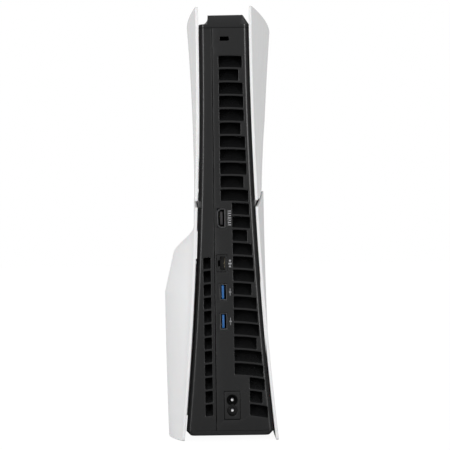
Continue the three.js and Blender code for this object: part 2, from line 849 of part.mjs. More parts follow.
const inDrive = {
  y: [drive.front + drive.wall, drive.rear - drive.wall],
  z: [drive.bottom + drive.wall, drive.top - drive.wall],
};
const tray = box(
  [drive.left, drive.right - drive.wall - gap],
  [drive.front, drive.rear],
  [drive.bottom, drive.top],
);
const slotZ = [centre.z - drive.disc / 2 - 1, centre.z + drive.disc / 2 + 1];
const discSlot = (y) => box([drive.slotX - drive.slot / 2, drive.slotX + drive.slot / 2], y, slotZ);
add(
  "drive_case",
  cut(tray, [
    box([drive.left + drive.wall, size.width], inDrive.y, inDrive.z),
    discSlot([drive.front - 1, drive.front + drive.wall + 1]),
  ]),
  looks.steel,
);
add(
  "drive_lid",
  box([drive.right - drive.wall, drive.right], [drive.front, drive.rear], [drive.bottom, drive.top]),
  looks.steel,
);
add(
  "drive_bezel",
  box(
    [fascia.half + gap, drive.bezelRight],
    [drive.front - gap - drive.bezelThickness, drive.front - gap],
    [drive.bottom, drive.top + 2],
  ).subtract(discSlot([drive.front - 10, drive.front])),
  looks.glossBlack,
);

const floor = drive.left + drive.wall + gap;
add(
  "spindle_motor",
  bar("x", centre.y, centre.z, deck.motor, [floor, floor + deck.motorThickness]),
  looks.steel,
);
const hubLeft = floor + deck.motorThickness + gap;
const hubTop = drive.slotX - deck.underDisc;
add(
  "disc_turntable",
  bar("x", centre.y, centre.z, deck.hub, [hubLeft, hubTop])
    .add(bar("x", centre.y, centre.z, deck.boss, [hubTop - 1, drive.slotX + deck.overDisc])),
  looks.black,
);

// The laser sled runs on two rods towards the rear and is driven by a screw.
const rodX = floor + 3;
const sledY = centre.y + sled.inner;
const railEnds = [centre.y + deck.motor + 1, inDrive.y[1] - gap];
const screwZ = centre.z - screwRod.off;

function sledSolid() {
  const x = [floor + 0.4, floor + sled.thickness + 0.4];
  const body = box(x, [sledY, sledY + sled.length], [centre.z - sled.half, centre.z + sled.half]);
  const bores = [-1, 1].map((k) =>
    bar("y", centre.z + k * sled.rodOff, rodX, sled.rod + sled.fit, railEnds));
  const lens = bar("x", sledY + sled.length / 2, centre.z, sled.lens, [x[1] - 1, x[1] + 1], 12);
  const nut = box(
    x,
    [sledY + sled.length - sled.nut, sledY + sled.length],
    [screwZ + screwRod.radius + gap, centre.z - sled.half + 1],
  );
  return join([cut(body, bores), lens, nut]);
}

add("laser_sled", sledSolid(), looks.aluminium);
[-1, 1].forEach((k, i) =>
  add(
    "sled_rod_" + ["lower", "upper"][i],
    bar("y", centre.z + k * sled.rodOff, rodX, sled.rod, railEnds, 12),
    looks.bright,
  ));
const motorEnds = [railEnds[0], railEnds[0] + screwRod.motorLength];
add("sled_motor", bar("y", screwZ, rodX, screwRod.motor - 0.1, motorEnds), looks.steel);
add(
  "sled_screw",
  bar("y", screwZ, rodX, screwRod.radius, [motorEnds[1] + gap, railEnds[1]], 12),
  looks.bright,
);
const rollerSpot = [drive.slotX - roller.underDisc, drive.front + roller.inset];
add(
  "loading_roller",
  bar("z", ...rollerSpot, roller.radius, [drive.bottom + 10, drive.top - 10])
    .add(bar("z", ...rollerSpot, roller.core, [inDrive.z[0] + gap, inDrive.z[1] - gap], 12)),
  looks.rubber,
);
add(
  "drive_board",
  box(
    [floor, floor + board.thickness],
    [drive.front + 14, centre.y - deck.motor - 6],
    [drive.bottom + 12, centre.z - 10],
  ),
  looks.board,
);

// ---- housing screws ----

screwSpots.forEach(({ y, z }, i) => {
  const wallX = -housingFace("plain", y, z);
  const headRight = wallX - fixing.stand;
  add(
    "housing_screw_" + (i + 1),
    bar("x", y, z, fixing.head, [headRight - fixing.headThickness, headRight], 12)
      .add(bar("x", y, z, fixing.shaft, [headRight - 1, headRight + fixing.length], 12)),
    looks.steel,
  );
});

const bounds = new THREE.Box3().setFromObject(console3);
console3.position.x = -(bounds.min.x + bounds.max.x) / 2;

export default console3;
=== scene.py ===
import json
import math

import bmesh
import bpy
from mathutils import Matrix, Vector


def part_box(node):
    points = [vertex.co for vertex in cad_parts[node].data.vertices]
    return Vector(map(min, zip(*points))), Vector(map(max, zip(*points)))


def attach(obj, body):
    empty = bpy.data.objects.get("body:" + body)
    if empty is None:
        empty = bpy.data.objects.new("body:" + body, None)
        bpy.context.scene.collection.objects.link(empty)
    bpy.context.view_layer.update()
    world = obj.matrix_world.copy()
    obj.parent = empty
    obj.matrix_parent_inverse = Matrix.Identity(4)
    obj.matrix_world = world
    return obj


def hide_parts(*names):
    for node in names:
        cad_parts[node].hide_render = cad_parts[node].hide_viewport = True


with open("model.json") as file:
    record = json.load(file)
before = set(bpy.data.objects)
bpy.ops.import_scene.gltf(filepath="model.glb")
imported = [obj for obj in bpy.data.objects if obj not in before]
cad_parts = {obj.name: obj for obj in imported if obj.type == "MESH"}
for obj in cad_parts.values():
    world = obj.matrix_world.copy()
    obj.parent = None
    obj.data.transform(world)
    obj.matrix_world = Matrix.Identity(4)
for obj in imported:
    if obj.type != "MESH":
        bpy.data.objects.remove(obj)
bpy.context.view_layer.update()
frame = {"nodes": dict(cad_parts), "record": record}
nodes = frame["nodes"]
record = frame["record"]
scene = bpy.context.scene

# Pieces are worked out in millimetres from the middle plane of the black housing.
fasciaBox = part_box("front_fascia")
spineX = (fasciaBox[0][0] + fasciaBox[1][0]) / 2


def place(point):
    return Vector((spineX + point[0] / 1000, point[1] / 1000, point[2] / 1000))


def lerp(a, b, t):
    return a + (b - a) * t


def clamp(t, low=0.0, high=1.0):
    return max(low, min(high, t))


def ease(t, start, end):
    s = clamp((t - start) / (end - start))
    return s * s * (3 - 2 * s)


def spread(a, b, count):
    return [lerp(a, b, i / count) for i in range(count + 1)]


# Node building: Link wraps one output socket, so that number maths reads as plain expressions.
class Link:
    def __init__(self, graph, socket):
        self.graph = graph
        self.socket = socket

    def __getitem__(self, name):
        return Link(self.graph, self.socket.node.outputs[name])

    def combine(self, operation, a, b):
        return self.graph.node("ShaderNodeMath", {"operation": operation}, {0: a, 1: b})

    def __add__(self, other):
        return self.combine("ADD", self, other)

    def __radd__(self, other):
        return self.combine("ADD", other, self)

    def __sub__(self, other):
        return self.combine("SUBTRACT", self, other)

    def __rsub__(self, other):
        return self.combine("SUBTRACT", other, self)

    def __mul__(self, other):
        return self.combine("MULTIPLY", self, other)

    def __rmul__(self, other):
        return self.combine("MULTIPLY", other, self)

    def __pow__(self, other):
        return self.combine("POWER", self, other)


class Graph:
    def __init__(self, tree):
        self.tree = tree

    def node(self, kind, settings=None, inputs=None):
        made = self.tree.nodes.new(kind)
        for key, value in (settings or {}).items():
            if key == "stops":
                ramp = made.color_ramp.elements
                while len(ramp) < len(value):
                    ramp.new(0.5)
                for stop, (position, colour) in zip(ramp, value):
                    stop.position = position
                    stop.color = colour
            else:
                setattr(made, key, value)
        for key, value in (inputs or {}).items():
            socket = made.inputs[key]
            if isinstance(value, Link):
                self.tree.links.new(value.socket, socket)
            else:
                socket.default_value = value
        shown = [socket for socket in made.outputs if socket.enabled]
        return Link(self, shown[0]) if shown else None


# Finishes.
finishes = {}


def startFinish(name):
    material = bpy.data.materials.new(name)
    material.use_nodes = True
    material.node_tree.nodes.clear()
    finishes[name] = material
    return Graph(material.node_tree)


def closeFinish(graph, shader):
    graph.node("ShaderNodeOutputMaterial", None, {"Surface": shader})


def tone(colour, amount=1.0):
    return (colour[0] * amount, colour[1] * amount, colour[2] * amount, 1)


def objectPlace(graph):
    return graph.node("ShaderNodeTexCoord")["Object"]


def noiseAt(graph, where, scale, detail=2.0, rough=0.5):
    return graph.node("ShaderNodeTexNoise", None,
                      {"Vector": where, "Scale": scale, "Detail": detail, "Roughness": rough})


def blendTone(graph, factor, a, b):
    mixed = graph.node("ShaderNodeMix", {"data_type": "RGBA"}, {0: factor, 6: a, 7: b})
    return Link(graph, mixed.socket.node.outputs[2])


# Moulded plastic: slow mottling of the colour, fine grain in the bump, both in the roughness.
def mouldedFinish(name, look):
    graph = startFinish(name)
    where = objectPlace(graph)
    slow = noiseAt(graph, where, look.get("slow", 18), 3)
    grain = noiseAt(graph, where, look["grain"], 2, 0.6)
    smudge = noiseAt(graph, where, look.get("smudge", 70), 5, 0.65)
    colour = blendTone(graph, slow * 0.7 + grain * 0.3, tone(look["colour"], 1 - look["mottle"]),
                       tone(look["colour"], 1 + look["mottle"]))
    roughness = look["roughness"] + (slow - 0.5) * look["sway"] + (smudge - 0.5) * look["sway"]
    bump = graph.node("ShaderNodeBump", None, {
        "Strength": look["bump"], "Distance": look["deep"], "Height": grain * 0.85 + smudge * 0.15,
    })
    shader = graph.node("ShaderNodeBsdfPrincipled", None, {
        "Base Color": colour, "Roughness": roughness, "Normal": bump,
        "Specular IOR Level": look.get("specular", 0.5), "Coat Weight": look.get("coat", 0.0),
        "Coat Roughness": look.get("coatRoughness", 0.1),
        "Subsurface Weight": look.get("depth", 0.0), "Subsurface Scale": 0.002,
    })
    closeFinish(graph, shader)


# Metal: streaks along one axis, small scuffs in the roughness.
def metalFinish(name, look):
    graph = startFinish(name)
    where = objectPlace(graph)
    drawn = graph.node("ShaderNodeMapping", None, {"Vector": where, "Scale": look["streak"]})
    streaks = noiseAt(graph, drawn, 240, 3, 0.6)
    scuffs = noiseAt(graph, where, 160, 5, 0.7)
    colour = blendTone(graph, scuffs, tone(look["colour"], 0.88), tone(look["colour"], 1.06))
    roughness = look["roughness"] + (streaks - 0.5) * look["sway"] + (scuffs - 0.5) * look["sway"]
    bump = graph.node("ShaderNodeBump", None,
                      {"Strength": look["bump"], "Distance": 0.00004, "Height": streaks})
    closeFinish(graph, graph.node("ShaderNodeBsdfPrincipled", None, {
        "Base Color": colour, "Metallic": 1.0, "Roughness": roughness, "Normal": bump,
    }))


plastics = {
    "coverGloss": {"colour": (0.86, 0.86, 0.865), "mottle": 0.008, "roughness": 0.2, "sway": 0.05,
                   "grain": 1400, "bump": 0.1, "deep": 0.00002, "coat": 0.25, "coatRoughness": 0.08,
                   "depth": 0.05},
    "coverMatte": {"colour": (0.84, 0.84, 0.845), "mottle": 0.012, "roughness": 0.48, "sway": 0.08,
                   "grain": 2600, "bump": 0.3, "deep": 0.00006, "depth": 0.05},
    "housingBlack": {"colour": (0.0078, 0.008, 0.0083), "mottle": 0.2, "roughness": 0.25, "sway": 0.1,
                     "grain": 2200, "bump": 0.35, "deep": 0.00007, "specular": 0.42},
    "glossBlack": {"colour": (0.006, 0.006, 0.0065), "mottle": 0.1, "roughness": 0.1, "sway": 0.05,
                   "grain": 500, "bump": 0.05, "deep": 0.00002, "coat": 0.6, "coatRoughness": 0.04},
    "lightStrip": {"colour": (0.72, 0.8, 0.88), "mottle": 0.04, "roughness": 0.28, "sway": 0.08,
                   "grain": 900, "bump": 0.15, "deep": 0.00003, "depth": 0.3},
    "socketBlue": {"colour": (0.012, 0.12, 0.36), "mottle": 0.08, "roughness": 0.38, "sway": 0.1,
                   "grain": 1800, "bump": 0.2, "deep": 0.00004},
    "chipBlack": {"colour": (0.02, 0.02, 0.022), "mottle": 0.2, "roughness": 0.5, "sway": 0.12,
                  "grain": 3000, "bump": 0.3, "deep": 0.00005},
    "rollerRubber": {"colour": (0.022, 0.022, 0.021), "mottle": 0.2, "roughness": 0.82, "sway": 0.12,
                     "grain": 1500, "bump": 0.6, "deep": 0.0001},
    "printedMark": {"colour": (0.34, 0.34, 0.35), "mottle": 0.2, "roughness": 0.6, "sway": 0.1,
                    "grain": 2500, "bump": 0.2, "deep": 0.00003},
    "slotDark": {"colour": (0.006, 0.006, 0.0062), "mottle": 0.2, "roughness": 0.6, "sway": 0.1,
                 "grain": 2200, "bump": 0.3, "deep": 0.00006, "specular": 0.25},
}
for name, look in plastics.items():
    mouldedFinish(name, look)

metals = {
    "platedSteel": {"colour": (0.56, 0.57, 0.58), "streak": (1, 1, 9),
                    "roughness": 0.32, "sway": 0.14, "bump": 0.25},
    "brightMetal": {"colour": (0.82, 0.82, 0.83), "streak": (6, 1, 6),
                    "roughness": 0.14, "sway": 0.08, "bump": 0.1},
    "pinMetal": {"colour": (0.86, 0.86, 0.87), "streak": (6, 1, 6),
                 "roughness": 0.46, "sway": 0.16, "bump": 0.5},
    "rawAluminium": {"colour": (0.68, 0.69, 0.7), "streak": (1, 1, 7),
                     "roughness": 0.38, "sway": 0.16, "bump": 0.3},
    "turnedBrass": {"colour": (0.68, 0.5, 0.22), "streak": (1, 1, 12),
                    "roughness": 0.26, "sway": 0.12, "bump": 0.3},
    "goldContact": {"colour": (0.5, 0.42, 0.27), "streak": (1, 5, 1),
                    "roughness": 0.22, "sway": 0.08, "bump": 0.1},
}
for name, look in metals.items():
    metalFinish(name, look)


# Green board: copper tracks show as slightly lighter, raised lines under the lacquer.
def boardFinish():
    graph = startFinish("circuitBoard")
    where = objectPlace(graph)
    tracks = graph.node("ShaderNodeTexVoronoi", {"feature": "DISTANCE_TO_EDGE", "distance": "MANHATTAN"},
                        {"Vector": where, "Scale": 190.0})
    lines = graph.node("ShaderNodeValToRGB", {"stops": [(0.03, (1, 1, 1, 1)), (0.09, (0, 0, 0, 1))]},
                       {0: tracks})
    fine = noiseAt(graph, where, 900, 3)
    colour = blendTone(graph, lines, (0.008, 0.04, 0.024, 1), (0.02, 0.085, 0.05, 1))
    bump = graph.node("ShaderNodeBump", None, {"Strength": 0.4, "Distance": 0.00005, "Height": lines})
    closeFinish(graph, graph.node("ShaderNodeBsdfPrincipled", None, {
        "Base Color": colour, "Roughness": 0.3 + fine * 0.15, "Normal": bump, "Coat Weight": 0.3,
    }))


boardFinish()

slotFinish = {
    "cover_gloss": "coverGloss", "cover_matte": "coverMatte", "housing_black": "housingBlack",
    "gloss_black": "glossBlack", "light_strip": "lightStrip", "sheet_steel": "platedSteel",
    "bright_metal": "brightMetal", "aluminium_raw": "rawAluminium", "brass_bush": "turnedBrass",
    "socket_blue": "socketBlue", "circuit_board": "circuitBoard", "chip_black": "chipBlack",
    "roller_rubber": "rollerRubber",
}
for part in record["subparts"]:
    kept = nodes[part["node"]]
    kept.data.materials.clear()
    kept.data.materials.append(finishes[slotFinish[part["material_slot"]]])
print("finishes made and put on the carried-over nodes")

# Mesh helpers.

def meshObject(name, points, faces, finish, smoothAngle=32):
    mesh = bpy.data.meshes.new(name)
    mesh.from_pydata([place(p) for p in points], [], faces)
    made = bpy.data.objects.new(name, mesh)
    scene.collection.objects.link(made)
    mesh.materials.append(finishes[finish])
    tidyMesh(made, smoothAngle)
    return made


def tidyMesh(made, smoothAngle=32):
    work = bmesh.new()
    work.from_mesh(made.data)
    bmesh.ops.remove_doubles(work, verts=work.verts, dist=1e-7)
    bmesh.ops.recalc_face_normals(work, faces=work.faces)
    for face in work.faces:
        face.smooth = True
    limit = math.radians(smoothAngle)
    for edge in work.edges:
        edge.smooth = len(edge.link_faces) == 2 and edge.calc_face_angle(0) < limit
    work.to_mesh(made.data)
    work.free()


# Rings of points joined in order, closed at both ends.
def loftFaces(rings, start=0):
    count = len(rings[0])
    faces = []
    for r in range(len(rings) - 1):
        for i in range(count):
            j = (i + 1) % count
            faces.append((start + r * count + i, start + r * count + j,
                          start + (r + 1) * count + j, start + (r + 1) * count + i))
    last = start + (len(rings) - 1) * count
    faces.append(tuple(start + i for i in range(count)))
    faces.append(tuple(last + i for i in range(count)))
    return faces


def loft(name, rings, finish, smoothAngle=32):
    points = [p for ring in rings for p in ring]
    return meshObject(name, points, loftFaces(rings), finish, smoothAngle)


# Several closed lofts in one mesh.
def loftGroup(name, bundles, finish, smoothAngle=32):
    points, faces = [], []
    for rings in bundles:
        faces += loftFaces(rings, len(points))
        points += [p for ring in rings for p in ring]
    return meshObject(name, points, faces, finish, smoothAngle)


# A closed outline from corners (u, v, radius), straight runs cut to the step.
def outline(corners, step=2.0, arc=6):
    result = []
    count = len(corners)
    for i, (u, v, radius) in enumerate(corners):
        here = Vector((u, v))
        back = (Vector(corners[i - 1][:2]) - here).normalized() * radius + here
        onward = (Vector(corners[(i + 1) % count][:2]) - here).normalized() * radius + here
        if result:
            last = result[-1]
            length = (back - last).length
            pieces = max(1, round(length / step))
            result += [last.lerp(back, k / pieces) for k in range(1, pieces)]
        if radius > 0:
            for k in range(arc + 1):
                t = k / arc
                result.append(back * (1 - t) ** 2 + here * 2 * t * (1 - t) + onward * t * t)
        else:
            result.append(here)
    first, last = result[0], result[-1]
    pieces = max(1, round((first - last).length / step))
    result += [last.lerp(first, k / pieces) for k in range(1, pieces)]
    kept = [p for i, p in enumerate(result) if (p - result[i - 1]).length > 1e-4]
    return kept


def rectangle(u, v, radius, step=50.0, arc=5):
    corners = [(u[0], v[0], radius), (u[1], v[0], radius), (u[1], v[1], radius), (u[0], v[1], radius)]
    return outline(corners, step, arc)


def circle(u, v, radius, count=28):
    return [Vector((u + radius * math.cos(2 * math.pi * i / count),
                    v + radius * math.sin(2 * math.pi * i / count))) for i in range(count)]


# The outline moved inwards by a distance.
def inset(points, distance):
    count = len(points)
    area = sum(points[i - 1].cross(points[i]) for i in range(count))
    sign = 1 if area > 0 else -1
    moved = []
    for i, point in enumerate(points):
        before = (point - points[i - 1]).normalized()
        after = (points[(i + 1) % count] - point).normalized()
        n1, n2 = Vector((-before.y, before.x)), Vector((-after.y, after.x))
        mean = n1 + n2
        scale = 2 / max(0.6, mean.dot(mean))
        moved.append(point + mean * scale * distance * sign)
    return moved


def quarter(radius, steps):
    return [(radius * (1 - math.cos(a)), radius * (1 - math.sin(a))) for a in spread(0, math.pi / 2, steps)]


# A plug along y from an outline in x and z, with its front rim rounded.
def plugRings(points, back, front, rim=0.3, steps=3):
    rings = [[(p.x, back, p.y) for p in points]]
    for offset, drop in quarter(rim, steps):
        depth = front - drop if front > back else front + drop
        rings.append([(p.x, depth, p.y) for p in inset(points, offset)])
    return rings


# A cup along y: outer wall, rounded lip, inner wall and floor.
def cupRings(points, wall, back, floor, front, lip=0.15):
    rings = [[(p.x, back, p.y) for p in points]]
    toward = 1 if front > back else -1
    rings.append([(p.x, front - toward * lip, p.y) for p in points])
    rings.append([(p.x, front, p.y) for p in inset(points, lip)])
    rings.append([(p.x, front, p.y) for p in inset(points, wall - lip)])
    rings.append([(p.x, front - toward * lip, p.y) for p in inset(points, wall)])
    rings.append([(p.x, floor, p.y) for p in inset(points, wall)])
    return rings


# A cutter through a wall whose outer face is at the given depth.
# Its mouth is flared, so that the edge is left rounded.
def mouthRings(points, back, face, flare=0.5, past=2.0, steps=4):
    rings = [[(p.x, back, p.y) for p in points]]
    for k in range(steps + 1):
        a = math.pi / 2 * k / steps
        depth = face - flare * (1 - math.sin(a))
        rings.append([(p.x, depth, p.y) for p in inset(points, -flare * (1 - math.cos(a)))])
    rings.append([(p.x, face + past, p.y) for p in inset(points, -flare)])
    return rings


def carve(target, cutter, operation="DIFFERENCE"):
    change = target.modifiers.new("cut", "BOOLEAN")
    change.operation = operation
    change.solver = "MANIFOLD"
    change.object = cutter
    evaluated = target.evaluated_get(bpy.context.evaluated_depsgraph_get())
    mesh = bpy.data.meshes.new_from_object(evaluated)
    target.modifiers.clear()
    old = target.data
    target.data = mesh
    bpy.data.meshes.remove(old)
    bpy.data.objects.remove(cutter)


def bevelled(target, width, angle=30, segments=2):
    change = target.modifiers.new("edge", "BEVEL")
    change.width = width / 1000
    change.segments = segments
    change.limit_method = "ANGLE"
    change.angle_limit = math.radians(angle)
    evaluated = target.evaluated_get(bpy.context.evaluated_depsgraph_get())
    mesh = bpy.data.meshes.new_from_object(evaluated)
    target.modifiers.clear()
    target.data = mesh


def finished(piece, body, slot, *replaced):
    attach(piece, body)
    if replaced:
        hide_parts(*replaced)
    return piece


# The curves that covers and housing share.
covers = {
    "wall": 2.5, "gap": 0.3, "sweep": 1.8,
    "waist": {"drive": 33.3, "plain": 30.3}, "topFlare": {"drive": 5.2, "plain": 8.2},
    "topPower": {"drive": 2, "plain": 1.5}, "bottomFlare": 5,
    "seamRear": 194.7, "seamFront": 211, "seamGap": 5, "rearCorner": 6, "topCorner": 5, "frontCorner": 16,
    "seamCorner": 1.5, "frontTuck": 3, "skin": 0.15, "rim": 0.8, "rings": 44, "innerRings": 14,
    "rear": 108, "front": -108, "height": 358, "driveReach": 54.6,
    "creaseRear": 214, "creaseFront": 286, "tuck": 1.6,
}
swelling = {
    "top": 177, "shoulder": 153, "full": 122, "shoulderShare": 0.7, "start": 2.5, "rise": 48,
    "frontLoss": 3, "baseLoss": 1.5,
}
spine = {
    "wall": 2.4, "rear": 104, "front": -92, "top": 340, "bottom": 8, "rearWall": 8, "corner": 4.7,
    "frontHalf": 26, "bayFloor": 22.5, "bayTop": 150, "bayStep": 10, "bayRun": 70,
    "seamTop": 9.8, "seamBottom": 11.3, "edgeTop": 20.4, "edgeFlare": 17, "edgePower": 2.05,
}


def edgeAt(z):
    return spine["edgeTop"] + spine["edgeFlare"] * clamp(1 - z / spine["top"]) ** spine["edgePower"]


def depthShare(y):
    return clamp((covers["rear"] - y) / (covers["rear"] - covers["front"]))


def sweepAt(y):
    return 1 - (1 - depthShare(y)) ** covers["sweep"]


def frontHalf(side, z):
    middle = covers["seamFront"]
    up = max(0, (z - middle) / (covers["height"] - middle))
    down = clamp((middle - z) / middle)
    flare = covers["topFlare"][side] * up ** covers["topPower"][side]
    return covers["waist"][side] + flare + covers["bottomFlare"] * down ** 2.2


def coverFace(side, y, z):
    edge = edgeAt(z) + covers["gap"] + covers["wall"]
    plain = lerp(edge, frontHalf(side, z), sweepAt(y))
    if side == "plain" or z > swelling["top"]:
        return plain
    shoulder = 1 - ease(z, swelling["shoulder"], swelling["top"])
    slope = 1 - clamp((z - swelling["full"]) / (swelling["shoulder"] - swelling["full"]))
    height = swelling["shoulderShare"] * shoulder + (1 - swelling["shoulderShare"]) * slope
    run = clamp((covers["rear"] - swelling["start"] - y) / swelling["rise"])
    most = (covers["driveReach"] - swelling["frontLoss"] * ease(depthShare(y), 0.4, 1)
            - swelling["baseLoss"] * (1 - clamp(z / swelling["full"])) ** 2)
    return lerp(plain, most, height * (1 - (1 - run) ** 2))


# The upper covers lean in below a soft crease that falls towards the rear.
def tuckAt(part, y, z):
    if part != "upper":
        return 0
    share = depthShare(y)
    crease = lerp(covers["creaseRear"], covers["creaseFront"], share ** 0.8)
    below = clamp((crease - z) / (covers["creaseFront"] - covers["creaseRear"]))
    return covers["tuck"] * below * ease(below, 0, 0.35) * share


def housingFace(side, y, z):
    edge = edgeAt(z)
    plain = lerp(edge, spine["frontHalf"], sweepAt(y))
    if side == "plain":
        return plain
    bay = lerp(edge, spine["bayFloor"], ease(spine["rear"] - y, 0, spine["bayRun"]))
    return lerp(bay, plain, ease(z, spine["bayTop"], spine["bayTop"] + spine["bayStep"]))


def seamX(z):
    share = (z - spine["bottom"]) / (spine["top"] - spine["bottom"])
    return lerp(spine["seamBottom"], spine["seamTop"], share)


signOf = {"drive": 1, "plain": -1}

# Covers.

def coverOutline(part):
    half = covers["seamGap"] / 2
    trim = covers["skin"]
    rear, front = covers["rear"] - trim, covers["front"] + trim
    high, low = covers["height"] - trim, 0.02
    if part == "upper":
        corners = [(rear, covers["seamRear"] + half, covers["seamCorner"]),
                   (rear, high, covers["rearCorner"]),
                   (front, high, covers["topCorner"]),
                   (front + covers["frontTuck"], covers["seamFront"] + half, covers["seamCorner"])]
    else:
        corners = [(rear, low, covers["rearCorner"] / 2),
                   (rear, covers["seamRear"] - half, covers["seamCorner"]),
                   (front + covers["frontTuck"], covers["seamFront"] - half, covers["seamCorner"]),
                   (front, low, covers["frontCorner"])]
    return outline(corners, 1.8, 9)


def coverPanel(side, part):
    sign = signOf[side]
    edge = coverOutline(part)
    rim, wall, skin = covers["rim"], covers["wall"], covers["skin"]
    centre = Vector((0, sum(p.y for p in edge) / len(edge)))

    def at(p, depth):
        face = coverFace(side, p.x, p.y) - tuckAt(part, p.x, p.y) - skin
        return (sign * (face - depth), p.x, p.y)

    rings = []
    innerLine = inset(edge, rim)
    for t in reversed(spread(0, 1, covers["rings"])[:-1]):
        rings.append([at(p.lerp(centre, t), 0) for p in innerLine])
    for offset, depth in reversed(quarter(rim, 4)[:-1]):
        rings.append([at(p, depth) for p in inset(edge, offset)])
    under = 0.5
    for offset, depth in quarter(under, 3):
        rings.append([at(p, wall - skin - depth) for p in inset(edge, offset)])
    backLine = inset(edge, under)
    for t in spread(0, 1, covers["innerRings"])[1:-1]:
        rings.append([at(p.lerp(centre, t), wall - skin) for p in backLine])
    points = [p for ring in rings for p in ring]
    count = len(edge)
    faces = loftFaces(rings)[:-2]
    poles = [at(centre, 0), at(centre, wall - skin)]
    top, last = len(points), (len(rings) - 1) * count
    points += poles
    faces += [(top, i, (i + 1) % count) for i in range(count)]
    faces += [(top + 1, last + (i + 1) % count, last + i) for i in range(count)]
    finish = "coverGloss" if part == "upper" else "coverMatte"
    return meshObject(part + "Cover" + side.capitalize(), points, faces, finish, 60)


for side in signOf:
    for part in ("upper", "lower"):
        panel = coverPanel(side, part)
        finished(panel, part + "_cover_" + side, "cover_gloss" if part == "upper" else "cover_matte",
                 part + "_cover_" + side + "_side")
print("covers made")

# Housing.
louvre = {
    "pitch": 11.02, "slot": 9.2, "top": 317, "bottom": 21, "inner": 4.7, "besidePorts": -4.5,
    "besideInlet": -16.7, "edgeLow": 3.5, "edgeHigh": 6.2, "block": 3.2, "blockEvery": 4,
    "sideTop": 152, "sideInner": 14.1, "sideWidth": 5.9, "corner": 0.7, "arch": 150, "flare": 0.55,
}
strip = {"portsTop": 197, "inletTop": 53, "left": -3.6, "inletLeft": -15.8, "pastSeam": 2}
ports = {
    "video": {"x": 4.6, "z": 183.2, "width": 6.4, "height": 15.6, "chamfer": 2.2},
    "network": {"x": 4.7, "z": 145.9, "width": 8.6, "height": 13.8, "latch": 5},
    "data": {"x": 4, "z": (122.2, 98), "width": 5.7, "height": 13.1},
    "lock": {"x": -0.3, "z": 331.1, "width": 7.1, "height": 2.8},
    "inlet": {"x": -1.9, "z": 28.6, "width": 12.9, "height": 23.2, "lobe": 4.5, "spacing": 8.7,
              "pin": 1.2, "recess": 11},
}
mouth = spine["rear"] - 0.4
portBack = mouth - 16


def archAt(x):
    return -x * x / (2 * louvre["arch"])


def louvreRows():
    span = louvre["top"] - louvre["bottom"] + louvre["pitch"] - louvre["slot"]
    count = math.floor(span / louvre["pitch"])
    rows = []
    for i in range(count):
        top = louvre["top"] - i * louvre["pitch"]
        middle = top - louvre["slot"] / 2
        margin = lerp(louvre["edgeLow"], louvre["edgeHigh"], middle / louvre["top"])
        left = -(edgeAt(middle) - margin)
        if middle > strip["portsTop"]:
            right = louvre["inner"]
        else:
            right = louvre["besidePorts"] if middle > strip["inletTop"] else louvre["besideInlet"]
        rows.append({"top": top, "low": top - louvre["slot"], "left": left, "right": right,
                     "short": i % louvre["blockEvery"] == 1, "side": middle < louvre["sideTop"]})
    return rows


rows = louvreRows()


# An opening whose long edges follow the arch of the bars.
def archedSlot(left, right, low, top):
    flat = rectangle((left, right), (low, top), louvre["corner"], 1.5, 4)
    return [Vector((p.x, p.y + archAt(p.x))) for p in flat]


# The rounded rear corner, as (distance in from the side, depth).
def cornerBend(rear):
    radius = spine["corner"]
    return [(radius * (1 - math.cos(a)), rear - radius + radius * math.sin(a))
            for a in spread(0, math.pi / 2, 10)]


def ringOfHalf(side, z):
    sign = signOf[side]
    rear, wall = spine["rear"], spine["wall"]
    innerRear = rear - spine["rearWall"]
    seam = seamX(z) + sign * 0.2

    sides = spread(spine["front"], 40, 12) + spread(40, rear - spine["corner"], 8)[1:-1]
    outer = [(sign * housingFace(side, y, z), y, z) for y in sides]
    outer += [(sign * (housingFace(side, y, z) - dx), y, z) for dx, y in cornerBend(rear)]
    lastX = outer[-1][0]
    groove = 0.45
    near = seam + sign * groove
    outer += [(x, rear, z) for x in spread(lastX, near, 3)[1:]]
    outer += [(seam + sign * groove * (1 - math.sin(a)), rear - groove * (1 - math.cos(a)), z)
              for a in spread(0, math.pi / 2, 3)[1:]]
    inner = [(seam, innerRear, z)]
    innerSides = [y for y in sides if y < innerRear - 1] + [innerRear]
    inner += [(sign * (housingFace(side, y, z) - wall), y, z) for y in reversed(innerSides)]
    return outer + inner


def housingLoft(side):
    heights = spread(spine["bottom"], spine["bayTop"], 30)
    heights += spread(spine["bayTop"], spine["bayTop"] + spine["bayStep"], 8)[1:]
    heights += spread(spine["bayTop"] + spine["bayStep"], spine["top"], 34)[1:]
    name = "housing" + side.capitalize()
    return loft(name, [ringOfHalf(side, z) for z in heights], "housingBlack", 28)


def slotCutters(side):
    back, face = spine["rear"] - spine["rearWall"] - 3, spine["rear"]
    bundles = []
    if side == "plain":
        for row in rows:
            left = row["left"] + (louvre["block"] if row["short"] else 0)
            slotLine = archedSlot(left, row["right"], row["low"], row["top"])
            bundles.append(mouthRings(slotLine, back, face, louvre["flare"]))
    else:
        for row in rows:
            if row["side"]:
                inner = louvre["sideInner"]
                slotLine = archedSlot(inner, inner + louvre["sideWidth"], row["low"], row["top"])
                bundles.append(mouthRings(slotLine, back, face, louvre["flare"]))
    return bundles


def blockAt(x, y, z):
    square = rectangle(x, z, 0.0)
    return [[(p.x, y[0], p.y) for p in square], [(p.x, y[1], p.y) for p in square]]


